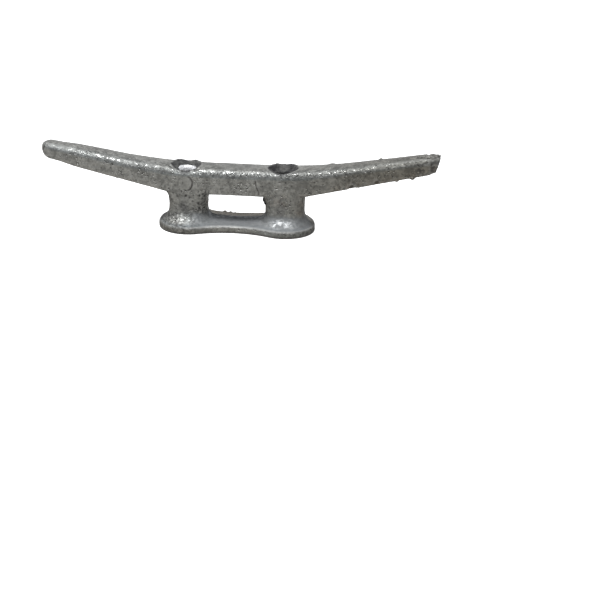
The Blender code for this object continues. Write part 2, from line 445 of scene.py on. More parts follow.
@dataclass(frozen=True)
class Base:
    """The base: a dog-bone plate with an upright rim and a hollow slope up to the middle crest."""

    centre: float
    lobe: float
    stem_half_width: float
    cove: Cove
    waist: float = 7.15 * MM
    crest: float = 4.4 * MM
    crest_half_width: float = 0.5 * MM
    rim_round: float = 0.75 * MM
    lower_round: float = 0.4 * MM
    rear_rise: float = 1.15 * MM
    hollow: float = 1.3
    slope_rings: int = 26
    round_rings: int = 6
    arc_points: int = 40

    def outline(self, lobe: np.ndarray, waist: np.ndarray) -> np.ndarray:
        """Dog-bone outlines: a lobe's arc, then a hollow arc tangent to both lobes, mirrored twice.

        The hollow arc's radius is (centre squared + waist squared - lobe squared) / twice (lobe - waist).

        Args:
            lobe: Radius of the lobes in each ring.
            waist: Half of the width between them in each ring.

        Returns:
            Points (x, y), rings by points by 2.
        """
        lobe, waist = lobe[:, None], waist[:, None]
        hollow = (self.centre**2 + waist**2 - lobe**2) / (2 * (lobe - waist))
        tangent = np.arctan2(waist + hollow, self.centre)
        share = np.linspace(0.0, 1.0, self.arc_points)[None, :]
        turn = share * (math.pi - tangent)
        lobe_arc = np.stack([self.centre + lobe * np.cos(turn), lobe * np.sin(turn)], -1)
        turn = -tangent + share * (tangent - math.pi / 2)
        waist_arc = np.stack([hollow * np.cos(turn), waist + hollow + hollow * np.sin(turn)], -1)
        quarter = np.concatenate([lobe_arc, waist_arc[:, 1:]], axis=1)
        upper = np.concatenate([quarter, (quarter * (-1, 1))[:, -2::-1]], axis=1)
        return np.concatenate([upper, (upper * (1, -1))[:, -2:0:-1]], axis=1)

    def sections(self) -> np.ndarray:
        """Rings up the base: rounded lower edge, upright rim, rounded shoulder, then the slope.

        Returns:
            Points, rings by sides by 3.
        """
        turn = np.linspace(0.0, math.pi / 2, self.round_rings)
        part = np.linspace(0.0, 1.0, self.slope_rings)
        slope_z = self.cove.rim + (self.crest - self.cove.rim) * part
        foot, edge = self.lobe - self.rim_round, self.waist - self.rim_round
        slope_lobe = self.stem_half_width + (foot - self.stem_half_width) * self.cove.share(slope_z)
        slope_waist = self.crest_half_width + (edge - self.crest_half_width) * (1.0 - part) ** self.hollow
        lower_in = self.lower_round * (1.0 - np.sin(turn))
        lower_z = self.lower_round * (1.0 - np.cos(turn))
        upper_in = self.rim_round * (1.0 - np.cos(turn))
        upper_z = self.cove.rim - self.rim_round * (1.0 - np.sin(turn))
        z = np.concatenate([lower_z, upper_z[:-1], slope_z])
        lobe = np.concatenate([self.lobe - lower_in, self.lobe - upper_in[:-1], slope_lobe])
        waist = np.concatenate([self.waist - lower_in, self.waist - upper_in[:-1], slope_waist])
        outline = self.outline(lobe, waist)
        rear = self.rear_rise * np.clip(outline[..., 1] / self.waist, 0.0, 1.0)
        height = z[:, None] + rear * smooth_step(z, 0.0, self.cove.rim)[:, None]
        return np.concatenate([outline, height[..., None]], -1)

    def build(self) -> bpy.types.Object:
        """Make the base's form."""
        return helper("base", tube_mesh("base", self.sections()))


@dataclass(frozen=True)
class ScrewHole:
    """A turned cutter: a straight hole that opens into a cone for a flat-headed screw."""

    centre: float
    across: float
    rim: float
    radius: float = 3.4 * MM
    mouth: float = 5.7 * MM
    half_angle: float = math.radians(41)
    clearance: float = 1.0 * MM
    sides: int = 96

    @property
    def knee(self) -> float:
        """Height where the cone meets the straight hole."""
        return self.rim - (self.mouth - self.radius) / math.tan(self.half_angle)

    def away(self, x: np.ndarray, y: np.ndarray) -> np.ndarray:
        """Distance of each place from the hole's axis."""
        return np.hypot(x - self.centre, y - self.across)

    def sections(self) -> np.ndarray:
        """Circles at the ends of the straight run and of the cone.

        Returns:
            Points, rings by sides by 3.
        """
        above = self.clearance * math.tan(self.half_angle)
        z = np.array([-self.clearance, self.knee, self.rim + self.clearance])[:, None]
        radius = np.array([self.radius, self.radius, self.mouth + above])[:, None]
        turn = np.linspace(0.0, 2 * math.pi, self.sides, endpoint=False)[None, :]
        x, y = self.centre + radius * np.cos(turn), self.across + radius * np.sin(turn)
        return np.stack([x, y, np.broadcast_to(z, x.shape)], -1)

    def build(self, name: str) -> bpy.types.Object:
        """Make the cutter."""
        return helper(name, tube_mesh(name, self.sections()))


# The even mesh that carries the cast surface


@dataclass
class Surface:
    """A mesh as arrays, with the moves that a whole surface can make."""

    points: np.ndarray
    quads: np.ndarray
    edges: np.ndarray
    masks: dict[str, np.ndarray] = field(default_factory=dict)

    @classmethod
    def of(cls, mesh: bpy.types.Mesh) -> "Surface":
        """Read a mesh of quads.

        Args:
            mesh: The mesh, which has nothing but quads.

        Returns:
            Its points, quads and edges as arrays.
        """
        points = np.zeros(len(mesh.vertices) * 3)
        mesh.vertices.foreach_get("co", points)
        quads = np.zeros(len(mesh.loops), int)
        mesh.loops.foreach_get("vertex_index", quads)
        edges = np.zeros(len(mesh.edges) * 2, int)
        mesh.edges.foreach_get("vertices", edges)
        return cls(points.reshape(-1, 3), quads.reshape(-1, 4), edges.reshape(-1, 2))

    def gather(self, values: np.ndarray) -> np.ndarray:
        """Mean of each point's neighbours along the edges.

        Args:
            values: One number or one row of numbers for each point.

        Returns:
            The means, in the same shape.
        """
        a, b = self.edges.T
        count = len(self.points)
        near = np.bincount(a, minlength=count) + np.bincount(b, minlength=count)
        columns = values.reshape(count, -1).T
        sums = [np.bincount(a, c[b], count) + np.bincount(b, c[a], count) for c in columns]
        return (np.array(sums) / near).T.reshape(values.shape)

    def normals(self) -> np.ndarray:
        """Unit normal of each point: the sum of its faces', each the cross product of the diagonals.

        Returns:
            Normals, one row for each point.
        """
        a, b, c, d = (self.points[self.quads[:, i]] for i in range(4))
        across = np.cross(c - a, d - b)
        total = np.zeros_like(self.points)
        for axis in range(3):
            for corner in range(4):
                total[:, axis] += np.bincount(self.quads[:, corner], across[:, axis], len(self.points))
        return total / np.maximum(np.linalg.norm(total, axis=1, keepdims=True), 1e-12)

    def relax(self, rounds: int, share: float | np.ndarray = 0.5) -> None:
        """Move each point part of the way to the mean of its neighbours, several times."""
        for _ in range(rounds):
            self.points += share * (self.gather(self.points) - self.points)

    def fill_corners(self, rounds: int, share: np.ndarray) -> None:
        """Relax hollow places only, outward along the normal, so that inner corners fill to a fillet.

        Args:
            rounds: How many times.
            share: How much of the way each point moves, from 0 to 1.
        """
        for _ in range(rounds):
            normal = self.normals()
            lift = ((self.gather(self.points) - self.points) * normal).sum(1)
            self.points += (share * np.clip(lift, 0.0, None))[:, None] * normal

    def write(self, name: str) -> bpy.types.Mesh:
        """Make a smooth-shaded mesh that carries the masks as attributes.

        Args:
            name: Name of the mesh.

        Returns:
            The mesh.
        """
        mesh = bpy.data.meshes.new(name)
        mesh.vertices.add(len(self.points))
        mesh.vertices.foreach_set("co", self.points.ravel())
        mesh.loops.add(self.quads.size)
        mesh.loops.foreach_set("vertex_index", self.quads.ravel())
        mesh.polygons.add(len(self.quads))
        mesh.polygons.foreach_set("loop_start", np.arange(len(self.quads)) * 4)
        mesh.update(calc_edges=True)
        mesh.validate()
        write_masks(mesh, self.masks)
        mesh.shade_smooth()
        return mesh


# Marks of this one casting


class MarkKind(Enum):
    """What a mark is made of, or the painted shade that a shaded lump gets, which decides the mask that it
    also leaves.
    """

    ZINC = "thick_zinc"
    IRON = "grime"
    RUST = "rust"
    PAINTED_SHADE = "painted_lump_shade"


@dataclass(frozen=True)
class Mark:
    """A round lump or pit at a known place, in millimetres: a positive height stands proud."""

    place: tuple[float, float, float]
    radius: float
    height: float
    kind: MarkKind = MarkKind.ZINC
    tint: float = 0.0

    def hump(self, points: np.ndarray, ripple: np.ndarray) -> np.ndarray:
        """Height share at each point: a bell over the distance, its outline pushed about by the ripple."""
        gap = np.linalg.norm(points / MM - self.place, axis=1) * (1.0 + OUTLINE_RIPPLE * ripple)
        return bell(gap, self.radius)


OUTLINE_RIPPLE = 0.35
MARKS = (
    Mark((43.6, -5.0, 19.2), 1.9, -1.0, MarkKind.IRON, 0.4),
    Mark((52.3, -5.3, 23.0), 2.2, 0.14),
    Mark((51.4, -4.9, 27.4), 0.9, 0.16, MarkKind.ZINC, 1.0),
    Mark((53.0, -5.2, 21.9), 1.0, -0.35, MarkKind.IRON, 1.0),
    Mark((53.6, 3.5, 28.4), 0.9, 0.65),
    Mark((35.3, 4.3, 25.4), 1.3, 0.35),
    Mark((67.7, -1.3, 31.1), 0.8, -0.4, MarkKind.IRON, 0.8),
    Mark((71.0, -4.2, 30.0), 0.8, -0.35, MarkKind.IRON, 0.8),
    Mark((71.6, -2.5, 31.6), 1.3, -0.5, MarkKind.IRON, 0.4),
    Mark((71.9, 0.6, 31.8), 1.5, -0.6, MarkKind.IRON, 0.4),
    Mark((71.9, 3.2, 31.2), 1.7, -0.8, MarkKind.IRON, 0.5),
    Mark((76.8, 2.4, 32.0), 2.8, -1.6, MarkKind.IRON, 0.3),
    Mark((76.8, -1.0, 32.2), 2.6, -1.4, MarkKind.IRON, 0.4),
    Mark((71.2, 1.8, 31.6), 1.2, -0.45, MarkKind.IRON, 0.2),
    Mark((69.6, -0.6, 31.4), 1.1, 0.14, MarkKind.ZINC, 0.8),
    Mark((-73.3, -2.9, 29.7), 1.0, -0.6, MarkKind.IRON, 1.0),
    Mark((-73.7, -2.7, 28.8), 0.9, -0.5, MarkKind.IRON, 1.0),
    Mark((65.9, -4.2, 24.0), 1.3, 0.8),
    Mark((60.2, -4.2, 22.9), 1.0, 0.5),
    # Painted shade: a flash lump at the opening's upper right corner, coloured near-black as the shade it
    # stands in.
    Mark((11.1, -3.2, 12.8), 1.6, 0.9, MarkKind.PAINTED_SHADE, 1.0),
    Mark((11.2, -3.4, 11.3), 1.0, 0.35, MarkKind.PAINTED_SHADE, 0.8),
    Mark((-18.3, -6.1, 13.8), 0.9, -0.3, MarkKind.IRON, 1.0),
    Mark((-17.2, -6.1, 13.1), 0.6, -0.2, MarkKind.IRON, 1.0),
    Mark((-13.8, -5.4, 10.8), 1.0, -0.3, MarkKind.IRON, 1.0),
    Mark((-12.9, -5.0, 12.6), 0.9, -0.25, MarkKind.IRON, 1.0),
    Mark((-13.4, -5.2, 8.6), 0.9, -0.25, MarkKind.IRON, 1.0),
    Mark((-37.9, -1.3, 26.2), 0.5, 0.15, MarkKind.ZINC, 1.0),
    Mark((-5.6, 7.2, 3.9), 0.9, 0.5, MarkKind.RUST, 1.0),
    Mark((-3.4, 7.2, 4.0), 0.9, 0.45, MarkKind.RUST, 1.0),
    Mark((-1.6, 7.2, 4.0), 0.8, 0.4, MarkKind.RUST, 0.9),
    Mark((19.4, 5.4, 24.6), 0.8, 0.35),
)


@dataclass(frozen=True)
class CastSkin:
    """The relief of the cast and galvanised surface, and the masks that its colours follow."""

    bar: Bar
    stems: tuple[Stem, ...]
    holes: tuple[ScrewHole, ...]
    low: np.ndarray
    high: np.ndarray
    grain: float = 0.05 * MM
    swell: float = 0.07 * MM
    ripple: float = 0.035 * MM
    pit_depth: float = 0.2 * MM
    pimple: float = 0.2 * MM
    crag: float = 0.5 * MM
    mouth_crag: float = 0.36 * MM
    disc_radius: float = 2.9 * MM
    disc_shift: float = 0.4 * MM
    disc_height: float = 18.5 * MM
    disc_rise: float = 0.07 * MM
    disc_groove: float = 0.2 * MM
    wrinkle_foot: tuple[float, float] = (9.0 * MM, 14.9 * MM)
    wrinkle_top: tuple[float, float] = (7.9 * MM, 21.2 * MM)
    wrinkle_step: float = 0.07 * MM
    wrinkle_groove: float = 0.2 * MM
    seam: float = 0.12 * MM
    lip: float = 0.55 * MM
    streak_depth: float = 1.0 * MM
    streak_drop: float = 0.35 * MM
    streak_reach: float = 0.9 * MM
    band_depth: float = 2.2 * MM
    band_reach: float = 1.1 * MM
    headroom: float = 0.3 * MM
    front_dip: float = 0.55 * MM
    hollow_rounds: int = 11
    hollow_depth: float = 0.10 * MM
    fields: tuple[RandomField, ...] = tuple(RandomField(seed) for seed in (3, 14, 27, 41, 58))

    def regions(self, surface: Surface) -> None:
        """Work out which part of the casting each point belongs to, as masks from 0 to 1.

        Args:
            surface: The plain form. Its masks are filled in.
        """
        self.bar_masks(surface)
        self.hole_masks(surface)
        self.base_masks(surface)

    def bar_masks(self, surface: Surface) -> None:
        """Masks of the bar: its top, underside and stub, and the two streaks below its upper front edge:
        where the highlight breaks into flecks, and a strip of painted shade under it.

        Args:
            surface: The plain form. Its masks are filled in.
        """
        x, y, z = surface.points.T
        upward = surface.normals()[:, 2]
        masks = surface.masks
        depth = self.bar.top(x) - z
        on_bar = smooth_step(z - self.bar.underside(x), -1.2 * MM, 0.2 * MM)
        masks["top"] = on_bar * smooth_step(upward, 0.55, 0.9) * (depth < 1.2 * MM)
        masks["under"] = on_bar * smooth_step(-upward, 0.25, 0.7)
        masks["stub"] = smooth_step(x, self.bar.stub_start - 1.2 * MM, self.bar.stub_start + 0.6 * MM)
        front = on_bar * smooth_step(-y, 1.5 * MM, 3.2 * MM)
        wander = self.fields[4].waves(surface.points, 5 * MM)
        lower = self.streak_drop * smooth_step(np.abs(x), 40 * MM, 22 * MM) + 0.12 * MM * wander
        masks["edge"] = front * bell(depth - self.streak_depth - lower, 1.5 * self.streak_reach)
        # Painted shade: a darker blue-grey strip just under the highlight on the upper front edge.
        masks["painted_shade_band"] = front * bell(depth - self.band_depth - lower - 0.15 * MM * wander, self.band_reach)
        left = smooth_step(x, -58 * MM, -65 * MM) + 0.5 * bell(x + 35 * MM, 15 * MM)
        right = 0.3 * smooth_step(x, 14 * MM, 30 * MM) + 0.5 * smooth_step(x, 48 * MM, 60 * MM)
        masks["faint"] = np.maximum(left, right)

    def hole_masks(self, surface: Surface) -> None:
        """Masks of the screw holes: the bores, which the finish darkens as painted shade, the skin round
        their mouths, and a painted highlight low in the left one.

        Args:
            surface: The plain form. Its masks are filled in.
        """
        x, y, z = surface.points.T
        masks = surface.masks
        near_top = smooth_step(self.bar.top(x) - z, 3.0 * MM, 1.0 * MM)
        # The bore mask also carries painted shade: the finish darkens the holes, and a margin behind their
        # mouths, nearly to black.
        reach = 0.45 * MM + 0.6 * MM * smooth_step(y, 2.0 * MM, 4.5 * MM)
        masks["bore"] = np.zeros(len(x))
        masks["mouth"] = np.zeros(len(x))
        for hole in self.holes:
            away = hole.away(x, y)
            masks["bore"] += smooth_step(away, hole.mouth + reach, hole.mouth - 0.25 * MM)
            masks["mouth"] += bell(away - hole.mouth, 1.7 * MM) * near_top
        left = self.holes[0]
        # Painted highlight: a ragged near-white patch low on the left hole's rear wall.
        painted_hole_highlight = window(z - left.knee, -2.4 * MM, -1.4 * MM, 0.65 * MM, 1.05 * MM)
        masks["painted_hole_highlight"] = masks["bore"] * painted_hole_highlight * smooth_step(np.abs(x - left.centre), 4.0 * MM, 2.4 * MM)

    def base_masks(self, surface: Surface) -> None:
        """Masks of the base: its smooth front cove, its shoulder and crest, and the flecks on the left lobe.

        Args:
            surface: The plain form. Its masks are filled in, and the streaks' are added to.
        """
        x, y, z = surface.points.T
        masks = surface.masks
        front = smooth_step(-y, 0.0, 2.0 * MM)
        over_rim = smooth_step(z, 2.2 * MM, 3.0 * MM)
        cove = smooth_step(z, 10.0 * MM, 6.5 * MM) * smooth_step(surface.normals()[:, 2], 0.04, 0.4)
        drift = 2.5 * MM * self.fields[4].waves(surface.points, 4 * MM)
        clear = 0.15 + 0.85 * smooth_step(x + drift, -19 * MM, -10 * MM)
        flecked = cove * bell(x + 15.5 * MM, 8 * MM) * over_rim * front
        masks["base"] = smooth_step(z, 8.2 * MM, 5.6 * MM)
        masks["smooth"] = cove * clear * over_rim * smooth_step(y, 1.0 * MM, 0.1 * MM)
        masks["shoulder"] = bell(z - 2.9 * MM, 0.9 * MM) * front * (1.0 - 0.45 * bell(x + 5 * MM, 16 * MM))
        masks["edge"] = np.maximum(masks["edge"], flecked)
        masks["faint"] = np.maximum(masks["faint"], 0.7 * flecked)
        # Painted shade: the right part of the rim and the shoulder are darkened, which also dims the
        # shoulder's highlight.
        right_rim = 0.8 * smooth_step(z, 2.9 * MM, 2.3 * MM) * smooth_step(x, 2 * MM, 16 * MM)
        masks["painted_shade_band"] = np.maximum.reduce([masks["painted_shade_band"], right_rim, masks["shoulder"]])
        # Painted shade: a dark line along the step at the base's crest.
        crest = bell(y - 0.7 * MM, 0.8 * MM) * window(x, -11 * MM, -9 * MM, -5 * MM, -2.5 * MM)
        masks["crest"] = crest * window(z, 2.8 * MM, 3.6 * MM, 5.5 * MM, 6.5 * MM)

    def relief(self, surface: Surface) -> np.ndarray:
        """Height of the cast surface over the plain form at each point.

        Long swells and the mould's grain are layered waves; pits, pimples and the stub's crags are added
        where the masks say.

        Args:
            surface: The plain form, with its regions worked out.

        Returns:
            Heights in metres, one for each point.
        """
        points, masks = surface.points, surface.masks
        swell, grain, pits, pimples, crag = self.fields
        calm = np.clip(1.0 - 0.45 * masks["top"] - 0.8 * masks["smooth"], 0.15, 1.0)
        height = self.swell * swell.layers(points, 9 * MM, 3)
        height += self.ripple * swell.layers(points, 2.6 * MM, 2) * (0.5 + 0.5 * masks["top"])
        stem = window(points[:, 2], 7 * MM, 9 * MM, 14 * MM, 17 * MM)
        height += self.grain * calm * (1.0 + 0.7 * stem) * grain.layers(points, 1.15 * MM, 2, 0.6)
        pit = pits.specks(points, 2.1 * MM, 0.42, 0.3) * (0.5 + 0.5 * swell.waves(points, 6 * MM))
        pit = pit * np.clip(calm - 0.3, 0.0, 1.0) * (1.0 + 0.6 * stem)
        height -= self.pit_depth * pit
        masks["pits"] = pit
        bump = pimples.specks(points, 1.9 * MM, 0.3, 0.25)
        where = masks["under"] + 0.25 * masks["base"] * (1.0 - masks["smooth"]) + 0.12
        height += self.pimple * bump * where * (1.0 - masks["bore"])
        ragged = crag.layers(points, 1.7 * MM, 3, 0.55)
        height += self.crag * masks["stub"] * ragged
        masks["rough_end"] = masks["stub"] * smooth_step(ragged, 0.3, -0.2)
        height += self.mouth_crag * masks["mouth"] * ragged
        return height

    def lips(self, surface: Surface) -> np.ndarray:
        """How far the holes' rims stand up at the rear, and dip in front of the left one.

        Both are bells over the distance from the rim; the rear one is ragged.

        Args:
            surface: The surface to work on.

        Returns:
            Rises in metres, one for each point.
        """
        x, y, z = surface.points.T
        ragged = 0.95 + 0.7 * self.fields[4].layers(surface.points, 1.8 * MM, 2)
        rims = sum(bell(hole.away(x, y) - hole.mouth, 1.4 * MM) for hole in self.holes)
        total = rims * smooth_step(y, 1.5 * MM, 4.2 * MM)
        left = self.holes[0]
        dip = bell(left.away(x, y) - left.mouth - 0.4 * MM, 1.7 * MM) * smooth_step(-y, 2.6 * MM, 4.4 * MM)
        rise = self.lip * total * ragged - self.front_dip * dip
        return rise * smooth_step(self.bar.top(x) - z, 3.0 * MM, 1.6 * MM)

    def seam_height(self, surface: Surface) -> np.ndarray:
        """Ridge of the mould's parting, under the middle of the horns and round the left tip.

        Args:
            surface: The plain form, with its regions worked out.

        Returns:
            Heights in metres, one for each point.
        """
        x, y, _ = surface.points.T
        broken = smooth_step(self.fields[0].waves(surface.points, 5 * MM), -0.5, 0.4)
        wander = 0.25 * MM * self.fields[1].waves(surface.points, 6 * MM)
        tip = smooth_step(-x, self.bar.reach - 2.5 * MM, self.bar.reach)
        place = np.maximum(surface.masks["under"], tip)
        return self.seam * bell(y - wander, 0.6 * MM) * place * broken * (1.0 - surface.masks["bore"])

    def disc_height_at(self, surface: Surface) -> np.ndarray:
        """Round witness mark on the left stem's front: a low disc, and a groove that deepens to the right.

        Args:
            surface: The plain form. The masks of the disc and of the fine lines are filled in.

        Returns:
            Heights in metres, one for each point.
        """
        x, y, z = surface.points.T
        centre = self.stems[0].centre - self.disc_shift
        away = np.hypot(x - centre, z - self.disc_height)
        front = smooth_step(-y, 4.0 * MM, 5.2 * MM)
        away += 0.3 * MM * self.fields[4].waves(surface.points, 2.4 * MM)
        side = 0.12 + 0.88 * smooth_step((x - centre) / self.disc_radius, 0.0, 0.9)
        groove = bell(away - self.disc_radius, 0.6 * MM)
        raised = smooth_step(away, self.disc_radius, self.disc_radius - 0.6 * MM)
        # The groove's darkness in the finish is painted shade, stronger on its right side.
        surface.masks["lines"] = groove * side * front
        surface.masks["disc"] = raised * front
        return front * (self.disc_rise * raised - self.disc_groove * groove * side)

    def wrinkle_height(self, surface: Surface) -> np.ndarray:
        """Cold shut: a fine wandering line down the bar's front, where two streams of iron met.

        Args:
            surface: The plain form. The mask of the fine lines is added to.

        Returns:
            Heights in metres, one for each point.
        """
        x, y, z = surface.points.T
        (foot_x, foot_z), (top_x, top_z) = self.wrinkle_foot, self.wrinkle_top
        along = (z - foot_z) / (top_z - foot_z)
        wander = 0.45 * MM * self.fields[2].waves(surface.points * (0, 0, 1), 2.2 * MM)
        line = foot_x + (top_x - foot_x) * along + wander
        inside = window(along, 0.0, 0.1, 0.85, 1.0) * smooth_step(-y, 4.6 * MM, 5.6 * MM)
        groove = bell(x - line, 0.42 * MM) * inside
        step = smooth_step(x - line, -0.3 * MM, 0.0) * smooth_step(x - line, 2.6 * MM, 0.0) * inside
        surface.masks["lines"] = np.maximum(surface.masks["lines"], 0.85 * groove)
        return self.wrinkle_step * step - self.wrinkle_groove * groove

    def marks(self, surface: Surface) -> np.ndarray:
        """Add up the single lumps and pits, and note their kinds in the masks.

        Args:
            surface: The plain form. The masks of the marks' kinds are filled in.

        Returns:
            Heights in metres, one for each point.
        """
        ripple = self.fields[3].waves(surface.points, 0.9 * MM)
        total = np.zeros(len(surface.points))
        for kind in MarkKind:
            surface.masks[kind.value] = np.zeros(len(surface.points))
        for mark in MARKS:
            hump = mark.hump(surface.points, ripple)
            total += mark.height * MM * hump
            surface.masks[mark.kind.value] += mark.tint * hump
        return total

    def under_ceiling(self, z: np.ndarray) -> np.ndarray:
        """Heights kept below the box's top: a small gap g shrinks to s times e to the power (g - s) / s."""
        gap, soft = self.high[2] - z, self.headroom
        return self.high[2] - np.where(gap < soft, soft * np.exp(gap / soft - 1.0), gap)

    def apply(self, surface: Surface) -> None:
        """Move the surface by the whole relief, keep its sitting face flat, and work out its hollows.

        Args:
            surface: The plain form. Its points and masks are changed.
        """
        self.regions(surface)
        normal = surface.normals()
        height = self.relief(surface) + self.seam_height(surface) + self.disc_height_at(surface)
        height += self.wrinkle_height(surface) + self.marks(surface)
        sitting = smooth_step(surface.points[:, 2], 0.9 * MM, 0.15 * MM)
        lips = self.lips(surface)
        surface.points += (height * (1.0 - sitting))[:, None] * normal
        surface.points[:, 2] += lips
        surface.points[:, 2] = self.under_ceiling(surface.points[:, 2])
        surface.points = np.clip(surface.points, self.low, self.high)
        calm = Surface(surface.points.copy(), surface.quads, surface.edges)
        calm.relax(self.hollow_rounds)
        hollow = ((calm.points - surface.points) * surface.normals()).sum(1)
        surface.masks["hollow"] = np.clip(hollow / self.hollow_depth, -1.0, 1.0)


@dataclass(frozen=True)
class Casting:
    """The whole cleat: its forms joined, cut and given the cast skin."""

    low: Vector
    high: Vector
    hole_places: np.ndarray
    voxel: float = 0.34 * MM
    fillet_rounds: int = 47
    foot_rounds: int = 31

    @property
    def stem_centre(self) -> float:
        """Middle of the cleat to a stem's axis, which is half the holes' spacing."""
        return float(self.hole_places[1, 0] - self.hole_places[0, 0]) / 2

    def forms(self) -> tuple[Bar, tuple[Stem, ...], Base, tuple[ScrewHole, ...]]:
        """Size the plain forms from the frame's box and the screw holes' spacing.

        Returns:
            The bar, the left and right stems, the base, and the cutters of the two holes.
        """
        cove = Cove()
        lobe = float(self.high.y)
        base = Base(self.stem_centre, lobe, Stem.half_width, cove)
        stems = tuple(Stem(side * self.stem_centre, lobe - base.rim_round, cove) for side in (-1, 1))
        edge = self.stem_centre + Stem.half_length + Stem.head_flare
        bar = Bar(-float(self.low.x), edge)
        rims = bar.top(self.hole_places[:, 0])
        holes = tuple(ScrewHole(x, y, rim) for (x, y), rim in zip(self.hole_places, rims))
        return bar, stems, base, holes

    def joined(
        self, bar: Bar, stems: tuple[Stem, ...], base: Base, holes: tuple[ScrewHole, ...]
    ) -> bpy.types.Mesh:
        """Join the forms, cut the holes, and lay an even mesh of small quads over the result.

        Args:
            bar: The bar with its horns.
            stems: Left stem, then right stem.
            base: The base plate.
            holes: Cutters of the screw holes.

        Returns:
            The mesh that carries the cast skin.
        """
        body = bar.build()
        steps = [("UNION", base.build())]
        steps += [("UNION", stem.build(f"stem_{i}")) for i, stem in enumerate(stems)]
        steps += [("DIFFERENCE", hole.build(f"hole_{i}")) for i, hole in enumerate(holes)]
        for operation, other in steps:
            cut = body.modifiers.new(other.name, "BOOLEAN")
            cut.operation, cut.solver, cut.object = operation, "EXACT", other
        remesh = body.modifiers.new("even", "REMESH")
        remesh.mode, remesh.voxel_size = "VOXEL", self.voxel
        graph = bpy.context.evaluated_depsgraph_get()
        mesh = bpy.data.meshes.new_from_object(body.evaluated_get(graph))
        for obj in [body] + [other for _, other in steps]:
            bpy.data.objects.remove(obj)
        return mesh

    def corner_share(self, points: np.ndarray, stems: tuple[Stem, ...]) -> np.ndarray:
        """Where inner corners fill: fully under the bar, less at the foot of the stems.

        Args:
            points: Points of the even mesh.
            stems: Left stem, then right stem.

        Returns:
            The share at each point, from 0 to 0.8.
        """
        z = points[:, 2]
        under_bar = window(z, 10.5 * MM, 12.5 * MM, 17.5 * MM, 20.0 * MM)
        foot = window(z, 2.6 * MM, 3.6 * MM, 6.5 * MM, 9.0 * MM)
        outer = smooth_step(-points[:, 0], stems[1].centre, stems[1].centre + 4 * MM)
        return np.clip(under_bar * (0.22 + 0.26 * outer) + 0.35 * foot, 0.0, 0.8)

    def build(self) -> bpy.types.Object:
        """Make the skin and put it in the scene.

        Returns:
            The skin.
        """
        bar, stems, base, holes = self.forms()
        surface = Surface.of(self.joined(bar, stems, base, holes))
        LOG.info("even mesh: %d points, %d quads", len(surface.points), len(surface.quads))
        surface.relax(2)
        surface.fill_corners(self.fillet_rounds, self.corner_share(surface.points, stems))
        x, _, z = surface.points.T
        foot = window(z, 3.1 * MM, 3.9 * MM, 7.0 * MM, 8.4 * MM)
        foot *= smooth_step(np.abs(x), 4.5 * MM, 8.0 * MM)
        surface.relax(self.foot_rounds, 0.5 * foot[:, None])
        CastSkin(bar, stems, holes, np.array(self.low), np.array(self.high)).apply(surface)
        skin = bpy.data.objects.new("cleat_skin", surface.write("cleat_skin"))
        bpy.context.scene.collection.objects.link(skin)
        return skin


# Finishes


